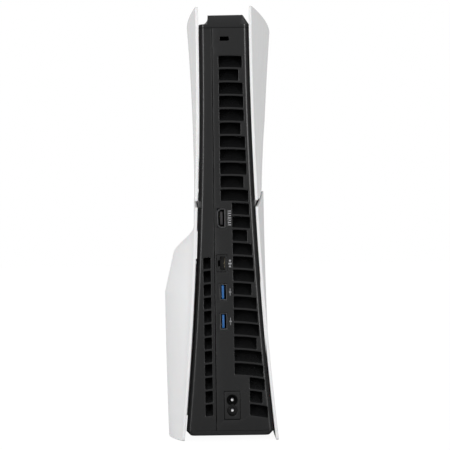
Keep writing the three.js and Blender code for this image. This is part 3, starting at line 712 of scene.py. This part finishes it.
def portCutters():
    back, face = spine["rear"] - spine["rearWall"] - 1, spine["rear"]
    bundles = []
    for name, radius in (("video", 0.6), ("network", 0.5), ("lock", 0.7), ("inlet", 0.5)):
        port = ports[name]
        w, h = port["width"] / 2 + 0.3, port["height"] / 2 + 0.3
        line = rectangle((port["x"] - w, port["x"] + w), (port["z"] - h, port["z"] + h), radius)
        bundles.append(mouthRings(line, back, face, 0.25))
    data = ports["data"]
    for z in data["z"]:
        w, h = data["width"] / 2 + 0.3, data["height"] / 2 + 0.3
        line = rectangle((data["x"] - w, data["x"] + w), (z - h, z + h), 0.5)
        bundles.append(mouthRings(line, back, face, 0.25))
    return bundles


for side in signOf:
    shell = housingLoft(side)
    inner = (spine["rear"] - spine["rearWall"] - 1, spine["rear"] - spine["wall"])
    far = seamX(spine["bottom"]) + strip["pastSeam"]
    pockets = [blockAt((strip["left"], far), inner, (strip["inletTop"], strip["portsTop"])),
               blockAt((strip["inletLeft"], far), inner, (spine["bottom"] + 2, strip["inletTop"] - 0.01))]
    carve(shell, loftGroup("pocketCut", pockets[:1], "slotDark"))
    carve(shell, loftGroup("pocketCut", pockets[1:], "slotDark"))
    carve(shell, loftGroup("slotCut", slotCutters(side), "housingBlack"))
    if side == "plain":
        carve(shell, loftGroup("portCut", portCutters(), "housingBlack"))
    tidyMesh(shell, 28)
    finished(shell, "console", "housing_black", "housing_" + side + "_side")
print("housing made")

# Louvre blades: a slanted profile carried along an arched line in each slot.
blades = {"thickness": 1.2, "depth": 11, "rise": 8.9, "behind": 0.7, "overlap": 0.5}


def bladeLines(rowsToUse, ends):
    points, edges = [], []
    for row in rowsToUse:
        left, right = ends(row)
        line = spread(left - blades["overlap"], right + blades["overlap"], 14)
        start = len(points)
        points += [(x, spine["rear"] - blades["behind"], row["low"] + archAt(x)) for x in line]
        edges += [(start + i, start + i + 1) for i in range(len(line) - 1)]
    return points, edges


def bladeTree():
    tree = bpy.data.node_groups.new("louvreBlades", "GeometryNodeTree")
    face = tree.interface
    face.new_socket("Geometry", in_out="INPUT", socket_type="NodeSocketGeometry")
    for label, value in (("Thickness", 0.0013), ("Depth", 0.0085), ("Rise", 0.0052)):
        made = face.new_socket(label, in_out="INPUT", socket_type="NodeSocketFloat")
        made.default_value = value
    face.new_socket("Geometry", in_out="OUTPUT", socket_type="NodeSocketGeometry")
    graph = Graph(tree)
    given = graph.node("NodeGroupInput")
    paths = graph.node("GeometryNodeMeshToCurve", None, {"Mesh": given["Geometry"]})
    level = graph.node("GeometryNodeSetCurveNormal", {"mode": "Z_UP"}, {"Curve": paths})
    # The profile is a slim sloping strip: x is across the path, y is down.
    corners = graph.node("GeometryNodeCurvePrimitiveQuadrilateral", {"mode": "POINTS"}, {
        "Point 1": graph.node("ShaderNodeCombineXYZ", None, {"X": 0.0, "Y": 0.0}),
        "Point 2": graph.node("ShaderNodeCombineXYZ", None, {"X": given["Depth"], "Y": 0.0 - given["Rise"]}),
        "Point 3": graph.node("ShaderNodeCombineXYZ", None, {
            "X": given["Depth"], "Y": given["Thickness"] - given["Rise"]}),
        "Point 4": graph.node("ShaderNodeCombineXYZ", None, {"X": 0.0, "Y": given["Thickness"]}),
    })
    swept = graph.node("GeometryNodeCurveToMesh", None,
                       {"Curve": level, "Profile Curve": corners, "Fill Caps": True})
    real = graph.node("GeometryNodeRealizeInstances", None, {"Geometry": swept})
    dressed = graph.node("GeometryNodeSetMaterial", None,
                         {"Geometry": real, "Material": finishes["housingBlack"]})
    graph.node("NodeGroupOutput", None, {"Geometry": dressed})
    return tree


def runTree(made, tree, values):
    change = made.modifiers.new("build", "NODES")
    change.node_group = tree
    for item in tree.interface.items_tree:
        if item.in_out == "INPUT" and item.name in values:
            change[item.identifier] = values[item.name]
    evaluated = made.evaluated_get(bpy.context.evaluated_depsgraph_get())
    mesh = bpy.data.meshes.new_from_object(evaluated)
    made.modifiers.clear()
    old = made.data
    made.data = mesh
    bpy.data.meshes.remove(old)
    return made


def linesObject(name, points, edges):
    mesh = bpy.data.meshes.new(name)
    mesh.from_pydata([place(p) for p in points], edges, [])
    made = bpy.data.objects.new(name, mesh)
    scene.collection.objects.link(made)
    return made


bladeSizes = {"Thickness": blades["thickness"] / 1000, "Depth": blades["depth"] / 1000,
              "Rise": blades["rise"] / 1000}
tree = bladeTree()
for name, use, ends in (
    ("louvreBladesMain", rows, lambda row: (row["left"], row["right"])),
    ("louvreBladesSide", [row for row in rows if row["side"]],
     lambda row: (louvre["sideInner"], louvre["sideInner"] + louvre["sideWidth"])),
):
    bladeSet = runTree(linesObject(name, *bladeLines(use, ends)), tree, bladeSizes)
    tidyMesh(bladeSet, 30)
    finished(bladeSet, "console", "housing_black")
print("louvre blades made")

# Top cap and base plate.
cap = {"bottom": 340.3, "top": 343.3, "ridge": 351.2, "right": 13.4, "left": -15.6, "foot": 5,
       "coveFoot": 6.2, "rearLeft": -13.8, "slope": 7, "frontGap": 4, "edge": 0.35}


def planRing(z, shrink=0.0, rear=spine["rear"]):
    straight = spread(spine["front"], 40, 10) + spread(40, rear - spine["corner"], 8)[1:-1]
    stations = [(0.0, y) for y in straight] + cornerBend(rear)
    right = [(housingFace("drive", y, z) - shrink - dx, y, z) for dx, y in stations]
    left = [(shrink + dx - housingFace("plain", y, z), y, z) for dx, y in reversed(stations)]
    return right + left


def capLid():
    edge = cap["edge"]
    rings = [planRing(cap["bottom"]), planRing(cap["top"] - edge)]
    rings += [[(x, y, z + edge) for x, y, z in planRing(cap["top"] - edge, edge, spine["rear"] - edge)]]
    return rings


def capBlock():
    low = cap["bottom"] + 1
    rise = cap["ridge"] - cap["top"]
    upright = 0.25  # share of the rise above the cove
    cove = [(cap["right"] + cap["coveFoot"] * (1 - math.cos(a)),
             cap["ridge"] - rise * upright - rise * (1 - upright) * math.sin(a))
            for a in spread(0, math.pi / 2, 8)]
    foot = cap["left"] - cap["foot"]
    profile = [(cap["right"] + cap["coveFoot"], low), *reversed(cove), (cap["right"], cap["ridge"]),
               (cap["left"], cap["ridge"]), (foot, cap["top"] - 0.2), (foot, low)]
    rearTop = spine["rear"] - cap["slope"]
    rings = [[(x, spine["front"] + cap["frontGap"], z) for x, z in profile],
             [(x, rearTop, z) for x, z in profile]]
    tail = []
    for i, (x, z) in enumerate(profile):
        y = spine["rear"] - 0.3
        if abs(x - cap["left"]) < 0.01:
            x = cap["rearLeft"]
        if x < cap["rearLeft"] - 1 or x > cap["right"] + 1:
            y -= spine["corner"] * 0.55
        tail.append((x, y, min(z, cap["top"] + 0.02)))
    rings.append(tail)
    return rings


lid = loftGroup("capLid", [capLid()], "housingBlack", 25)
blockPiece = loftGroup("capBlock", [capBlock()], "housingBlack", 25)
carve(lid, blockPiece, "UNION")
bevelled(lid, 0.35, 22, 3)
tidyMesh(lid, 24)
lid.name = "topCap"
finished(lid, "console", "housing_black", "top_cap")

base = {"top": 7.7, "bottom": 4.0, "chamfer": 4.0, "edge": 0.4}
rings = []
for share in spread(0, 1, 3):
    z = lerp(base["bottom"], base["top"], share)
    rings.append(planRing(z, base["chamfer"] * (1 - share) + 0.05))
plateMade = loft("basePlate", rings, "housingBlack", 25)
bushRings = [[(p.x, p.y, z) for p in circle(0, 20, 5.3, 40)] for z in (0, 12)]
bushCut = loftGroup("bushCut", [bushRings], "housingBlack")
carve(plateMade, bushCut)
bevelled(plateMade, 0.3, 30, 2)
tidyMesh(plateMade, 24)
finished(plateMade, "console", "housing_black", "base_plate")
print("cap and base made")

# Rear sockets.

def chamferedOutline(port, shrink=0.0):
    w, h, c = port["width"] / 2 - shrink, port["height"] / 2 - shrink, port["chamfer"]
    x, z = port["x"], port["z"]
    corners = [(x - w, z - h, 0.35), (x - w, z + h, 0.35), (x + w - c, z + h, 0.35), (x + w, z + h - c, 0.35),
               (x + w, z - h + c, 0.35), (x + w - c, z - h, 0.35)]
    return outline(corners, 50, 3)


def contactRow(x, zs, y, size):
    bundles = []
    for z in zs:
        square = rectangle((x - size[0] / 2, x + size[0] / 2),
                           (z - size[1] / 2, z + size[1] / 2), 0.05, 50, 2)
        bundles.append(plugRings(square, y[0], y[1], 0.04, 2))
    return bundles


video = ports["video"]
videoShell = loftGroup("videoShell", [
    cupRings(chamferedOutline(video), 0.42, portBack, portBack + 2, mouth, 0.18)], "platedSteel")
finished(videoShell, "console", "sheet_steel", "video_socket_shell")
# Dark liners inside the sockets, just short of the shells' rims: painted shade, dark sheets that stand in for
# the shade deep inside the sockets.
shadeLiner = {"back": portBack + 2.1, "floor": portBack + 2.25, "front": mouth - 0.25}
videoShadeLiner = loftGroup("videoShadeLiner", [
    cupRings(chamferedOutline(video, 0.45), 0.35, shadeLiner["back"], shadeLiner["floor"], shadeLiner["front"], 0.1),
], "slotDark")
finished(videoShadeLiner, "console", "housing_black")
tongueLine = rectangle((video["x"] - 1, video["x"] + 1), (video["z"] - 5.4, video["z"] + 5.4), 0.25)
tongueRings = plugRings(tongueLine, portBack + 2.3, mouth - 1.1, 0.25)
videoTongue = loftGroup("videoTongue", [tongueRings], "chipBlack")
finished(videoTongue, "console", "housing_black", "video_socket_tongue")
videoContacts = loftGroup("videoContacts", contactRow(
    video["x"] + 1.03, [video["z"] - 4.5 + k for k in range(10)],
    (portBack + 3, mouth - 2.6), (0.12, 0.45)), "goldContact")
finished(videoContacts, "console", "bright_metal")

jack = ports["network"]
jackLine = rectangle((jack["x"] - jack["width"] / 2, jack["x"] + jack["width"] / 2),
                     (jack["z"] - jack["height"] / 2, jack["z"] + jack["height"] / 2), 0.4)
jackBody = loftGroup("networkJack", [plugRings(jackLine, portBack, mouth, 0.2)], "housingBlack")
w, h = jack["width"] / 2 - 1.6, jack["height"] / 2 - 1.2
room = rectangle((jack["x"] - w, jack["x"] + w - 1), (jack["z"] - h, jack["z"] + h), 0.2)
carve(jackBody, loftGroup("roomCut", [mouthRings(room, portBack + 2, mouth, 0.15)], "slotDark"))
latch = rectangle((jack["x"], jack["x"] + w + 0.6),
                  (jack["z"] - jack["latch"] / 2, jack["z"] + jack["latch"] / 2), 0.2)
carve(jackBody, loftGroup("latchCut", [mouthRings(latch, portBack + 2, mouth, 0.15)], "slotDark"))
tidyMesh(jackBody, 30)
finished(jackBody, "console", "housing_black", "network_jack")
pinRow = contactRow(jack["x"] - w + 0.5, [jack["z"] - 3.57 + 1.02 * k for k in range(8)],
                    (portBack + 2.5, mouth - 3), (0.35, 0.4))
finished(loftGroup("networkContacts", pinRow, "goldContact"), "console", "bright_metal")

data = ports["data"]
for z, where in zip(data["z"], ("upper", "lower")):
    shellLine = rectangle((data["x"] - data["width"] / 2, data["x"] + data["width"] / 2),
                          (z - data["height"] / 2, z + data["height"] / 2), 0.45)
    shellMade = loftGroup("dataShell" + where.capitalize(),
                          [cupRings(shellLine, 0.34, portBack, portBack + 2, mouth, 0.15)], "platedSteel")
    finished(shellMade, "console", "sheet_steel", "data_socket_shell_" + where)
    # Painted shade: a dark liner inside each data socket stands in for the shade deep inside it.
    shadeLinerLine = rectangle((data["x"] - data["width"] / 2 + 0.38, data["x"] + data["width"] / 2 - 0.38),
                          (z - data["height"] / 2 + 0.38, z + data["height"] / 2 - 0.38), 0.3)
    shadeLinerMade = loftGroup("dataLiner" + where.capitalize(), [
        cupRings(shadeLinerLine, 0.3, shadeLiner["back"], shadeLiner["floor"], shadeLiner["front"], 0.08)], "slotDark")
    finished(shadeLinerMade, "console", "housing_black")
    start = data["x"] - data["width"] / 2 + 2.25
    tongueLine = rectangle((start, start + 1.8), (z - 5.4, z + 5.4), 0.15)
    tongueMade = loftGroup("dataTongue" + where.capitalize(),
                           [plugRings(tongueLine, portBack + 2.3, mouth - 0.8, 0.15)], "socketBlue")
    finished(tongueMade, "console", "socket_blue", "data_socket_tongue_" + where)
    contacts = contactRow(start + 1.85, [z - 3.5, z - 1.25, z + 1.25, z + 3.5],
                          (portBack + 4, mouth - 1.4), (0.12, 1.1))
    contactsMade = loftGroup("dataContacts" + where.capitalize(), contacts, "goldContact")
    finished(contactsMade, "console", "bright_metal")

inlet = ports["inlet"]
inletLine = rectangle((inlet["x"] - inlet["width"] / 2, inlet["x"] + inlet["width"] / 2),
                      (inlet["z"] - inlet["height"] / 2, inlet["z"] + inlet["height"] / 2), 0.8)
inletBody = loftGroup("mainsInlet", [plugRings(inletLine, portBack, mouth, 0.35)], "housingBlack")
for k in (-1, 1):
    lobe = circle(inlet["x"], inlet["z"] + k * inlet["spacing"] / 2, inlet["lobe"], 48)
    recess = mouthRings(lobe, mouth - inlet["recess"], mouth, 0.3)
    carve(inletBody, loftGroup("lobeCut", [recess], "slotDark"))
tidyMesh(inletBody, 30)
finished(inletBody, "console", "housing_black", "mains_inlet")
for k, where in ((-1, "lower"), (1, "upper")):
    z = inlet["z"] + k * inlet["spacing"] / 2
    pinLine = circle(inlet["x"], z, inlet["pin"], 24)
    pinMade = loftGroup("mainsPin" + where.capitalize(),
                        [plugRings(pinLine, mouth - inlet["recess"] + 0.1, mouth - 1.2, 0.55, 6)], "pinMetal")
    finished(pinMade, "console", "bright_metal", "mains_pin_" + where)

# Small printed marks beside the sockets: a screen, three linked boxes and two arrows.
marks = {"proud": 0.02}


def barMark(x, z):
    bar = rectangle(x, z, 0.05, 50, 2)
    return plugRings(bar, spine["rear"] - 0.05, spine["rear"] + marks["proud"], 0.01, 1)


bundles = []
for k in range(7):
    z = 177.2 + 1.9 * k
    bundles.append(barMark((-3.4, -1.6 + 0.5 * (k % 2)), (z, z + 0.75)))
bundles.append(barMark((-1.2, -0.9), (177.0, 189.6)))
for k, width in enumerate((1.6, 2.4, 1.6)):
    bundles.append(barMark((-2.0 - width / 2, -2.0 + width / 2), (142.6 + 2.4 * k, 143.9 + 2.4 * k)))
bundles.append(barMark((-2.1, -1.9), (143.5, 148)))
for z in data["z"]:
    bundles.append(barMark((-1.9, -1.55), (z - 3, z + 3)))
    bundles.append(barMark((-2.7, -0.8), (z - 0.4, z + 0.4)))
finished(loftGroup("socketMarks", bundles, "printedMark"), "console", "housing_black")
print("rear sockets made")

# The front: a glossy curved fascia with its buttons and sockets between two intake grilles.
front = {"face": -99.7, "half": 17.6, "thickness": 7.4, "crown": 0.9, "edge": 1.1,
         "bottom": 4.0, "top": 343.3}
buttons = {"left": -2.5, "right": 2.5, "half": 6.5, "proud": 0.2, "play": 0.25, "stem": 6,
           "powerButton": 40, "ejectButton": 62}
frontSockets = {"width": 9, "height": 3.4, "wall": 0.5, "depth": 8, "at": {"upper": 122, "lower": 104}}


# A stadium outline, (x, z), wide or tall.
def stadium(x, z, halfWide, halfTall):
    radius = min(halfWide, halfTall) * 0.98
    return rectangle((x - halfWide, x + halfWide), (z - halfTall, z + halfTall), radius, 50, 8)


# A plug that faces the front, at -y.
def frontPlug(points, back, face, rim=0.3, steps=3):
    flipped = plugRings(points, -back, -face, rim, steps)
    return [[(x, -y, z) for x, y, z in ring] for ring in flipped]


def crownAt(x):
    return front["face"] + front["crown"] * (x / front["half"]) ** 2


def fasciaMesh():
    rings = []
    low, high, edge = front["bottom"], front["top"], front["edge"]
    heights = [(low + edge * (1 - math.cos(a)), edge * (1 - math.sin(a))) for a in spread(0, math.pi / 2, 5)]
    heights += [(z, 0.0) for z in spread(low, high, 60) if low + 2 * edge < z < high - 2 * edge]
    heights += [(high - edge * (1 - math.cos(a)), edge * (1 - math.sin(a)))
                for a in reversed(spread(0, math.pi / 2, 5))]
    back = front["face"] + front["thickness"]
    for z, loss in heights:
        half = front["half"] - loss * 0.4
        ring = [(x, crownAt(x) + loss, z) for x in spread(-half + edge, half - edge, 18)]
        ring += [(half - edge * (1 - math.cos(a)), crownAt(half) + loss + edge * (1 - math.sin(a)), z)
                 for a in reversed(spread(0, math.pi / 2 - 0.2, 5))]
        ring += [(half, back, z), (-half, back, z)]
        ring += [(-half + edge * (1 - math.cos(a)), crownAt(half) + loss + edge * (1 - math.sin(a)), z)
                 for a in spread(0, math.pi / 2 - 0.2, 5)]
        rings.append(ring)
    return loft("frontFascia", rings, "glossBlack", 40)


fascia = fasciaMesh()
pastFace = front["face"] - 2
for part, z in (("powerButton", buttons["powerButton"]), ("ejectButton", buttons["ejectButton"])):
    hole = stadium((buttons["left"] + buttons["right"]) / 2, z,
                   buttons["right"] + buttons["play"], buttons["half"] + buttons["play"])
    carve(fascia, loftGroup("buttonCut", [frontPlug(hole, front["face"] + 12, pastFace)], "glossBlack"))
for z in frontSockets["at"].values():
    hole = stadium(0, z, frontSockets["width"] / 2 + 0.1, frontSockets["height"] / 2 + 0.1)
    carve(fascia, loftGroup("socketCut", [frontPlug(hole, front["face"] + 12, pastFace)], "glossBlack"))
tidyMesh(fascia, 30)
finished(fascia, "console", "gloss_black", "front_fascia")
for part, body, node in (("powerButton", "power", "power_button"), ("ejectButton", "eject", "eject_button")):
    shape = stadium((buttons["left"] + buttons["right"]) / 2, buttons[part],
                    buttons["right"], buttons["half"])
    face = front["face"] - buttons["proud"]
    made = loftGroup(part, [frontPlug(shape, face + buttons["stem"], face, 0.6, 5)], "glossBlack")
    finished(made, body, "gloss_black", node)
for where, z in frontSockets["at"].items():
    w, h, wall = frontSockets["width"] / 2, frontSockets["height"] / 2, frontSockets["wall"]
    shape = stadium(0, z, w, h)
    face = front["face"] + 1
    deepest = face + frontSockets["depth"]
    cup = cupRings(shape, wall, -deepest, 1.5 - deepest, -face, 0.15)
    cup = [[(x, -y, zz) for x, y, zz in ring] for ring in cup]
    made = loftGroup("frontSocket" + where.capitalize(), [cup], "platedSteel")
    finished(made, "console", "sheet_steel", "front_socket_" + where)
    tongue = rectangle((-w + 1.6, w - 1.6), (z - 0.35, z + 0.35), 0.15)
    tongueMade = loftGroup("frontTongue" + where.capitalize(),
                           [frontPlug(tongue, face + 7, face + 1.2, 0.1)], "slotDark")
    finished(tongueMade, "console", "housing_black")

# The bezel in front of the disc drive, with the disc slot, and the two light strips beside the fascia.
bezel = {"left": 17.9, "right": 44.6, "back": -94.8, "face": -98.8, "bottom": 14, "top": 146,
         "round": 0.8, "slotX": 36.5, "slotHalf": 1.6, "slotEnds": (18, 140), "slotFlare": 0.5}
lightStrips = {"inner": 17.9, "outer": 18.9, "back": -96.2, "face": -101.2, "ends": (222, 334), "round": 0.4}


def bezelPiece():
    shape = rectangle((bezel["left"], bezel["right"]), (bezel["bottom"], bezel["top"]), 1.5)
    made = loftGroup("driveBezel", [
        frontPlug(shape, bezel["back"], bezel["face"], bezel["round"], 5)], "glossBlack")
    line = rectangle((bezel["slotX"] - bezel["slotHalf"], bezel["slotX"] + bezel["slotHalf"]),
                     bezel["slotEnds"], bezel["slotHalf"] * 0.95, 50, 8)
    opening = mouthRings(line, -bezel["back"] - 2, -bezel["face"], bezel["slotFlare"])
    opening = [[(x, -y, z) for x, y, z in ring] for ring in opening]
    carve(made, loftGroup("discSlotCut", [opening], "slotDark"))
    tidyMesh(made, 30)
    return finished(made, "console", "gloss_black", "drive_bezel")


bezelPiece()
for side, sign in signOf.items():
    ends = sorted((sign * lightStrips["inner"], sign * lightStrips["outer"]))
    shape = rectangle(ends, lightStrips["ends"], 0.35)
    rings = frontPlug(shape, lightStrips["back"], lightStrips["face"], lightStrips["round"], 4)
    stripMade = loftGroup("statusLight" + side.capitalize(), [rings], "lightStrip")
    finished(stripMade, "console", "light_strip", "status_light_" + side + "_side")
print("front made")

# Floor, lights and camera.
studio = {"floor": 6.0, "world": 0.6, "behind": 1.0, "glow": 0.85, "paper": 1.12}


def makeFloor():
    mesh = bpy.data.meshes.new("studioFloor")
    reach = studio["floor"]
    corners = [(-reach, -reach, 0), (reach, -reach, 0), (reach, reach, 0), (-reach, reach, 0)]
    mesh.from_pydata(corners, [], [(0, 1, 2, 3)])
    made = bpy.data.objects.new("studioFloor", mesh)
    scene.collection.objects.link(made)
    graph = startFinish("studioPaper")
    where = objectPlace(graph)
    paper = noiseAt(graph, where, 3, 4)
    colour = blendTone(graph, paper, (0.56, 0.56, 0.56, 1), (0.6, 0.6, 0.6, 1))
    rays = graph.node("ShaderNodeLightPath")
    matt = graph.node("ShaderNodeBsdfPrincipled", None, {
        "Base Color": colour, "Roughness": 0.9, "Specular IOR Level": 0.1,
    })
    glow = graph.node("ShaderNodeEmission", None, {"Color": (1, 1, 1, 1), "Strength": studio["paper"]})
    closeFinish(graph, graph.node("ShaderNodeMixShader", None, {
        0: rays["Is Camera Ray"] * studio["glow"], 1: matt, 2: glow,
    }))
    mesh.materials.append(finishes["studioPaper"])


def makeWorld():
    world = bpy.data.worlds.new("studioSky")
    world.use_nodes = True
    world.node_tree.nodes.clear()
    graph = Graph(world.node_tree)
    rays = graph.node("ShaderNodeLightPath")
    around = graph.node("ShaderNodeBackground", None, {"Color": (1, 1, 1, 1), "Strength": studio["world"]})
    behind = graph.node("ShaderNodeBackground", None, {"Color": (1, 1, 1, 1), "Strength": studio["behind"]})
    sky = graph.node("ShaderNodeMixShader", None, {0: rays["Is Camera Ray"], 1: around, 2: behind})
    graph.node("ShaderNodeOutputWorld", None, {"Surface": sky})
    scene.world = world


def softLight(name, at, aim, size, power, tint=(1, 1, 1)):
    lamp = bpy.data.lights.new(name, "AREA")
    lamp.shape = "RECTANGLE"
    lamp.size, lamp.size_y = size
    lamp.energy = power
    lamp.color = tint
    made = bpy.data.objects.new(name, lamp)
    made.location = at
    made.rotation_euler = (Vector(aim) - Vector(at)).to_track_quat("-Z", "Y").to_euler()
    made.visible_camera = False
    scene.collection.objects.link(made)


lamps = {
    "keyLeft": {"at": (2.1, 0.2, 0.8), "aim": (0, 0, 0.2), "size": (1.2, 1.8), "power": 10},
    "stripLeft": {"at": (1.25, 2.1, 0.3), "aim": (0, 0, 0.2), "size": (0.4, 1.9), "power": 19},
    "stripRight": {"at": (-1.3, 2.1, 0.3), "aim": (0, 0, 0.2), "size": (0.4, 1.9), "power": 24},
    "fillRear": {"at": (0.3, 2.4, 1.9), "aim": (0, 0, 0.2), "size": (0.9, 0.6), "power": 2},
}
for name, lamp in lamps.items():
    softLight(name, lamp["at"], lamp["aim"], lamp["size"], lamp["power"])

lens = {"at": (-33, 1608, 180), "aim": (1.5, 108, 177.5), "focal": 146, "roll": 0.95}


def makeCamera():
    camera = bpy.data.cameras.new("rearCamera")
    camera.lens = lens["focal"]
    camera.sensor_width = 36
    camera.clip_start, camera.clip_end = 0.05, 40
    made = bpy.data.objects.new("rearCamera", camera)
    at, aim = place(lens["at"]), place(lens["aim"])
    turn = (aim - at).to_track_quat("-Z", "Y").to_matrix().to_4x4()
    made.matrix_world = Matrix.Translation(at) @ turn @ Matrix.Rotation(math.radians(-lens["roll"]), 4, "Z")
    scene.collection.objects.link(made)
    scene.camera = made


makeFloor()
makeWorld()
makeCamera()
scene.view_settings.view_transform = "Standard"
print("studio made")
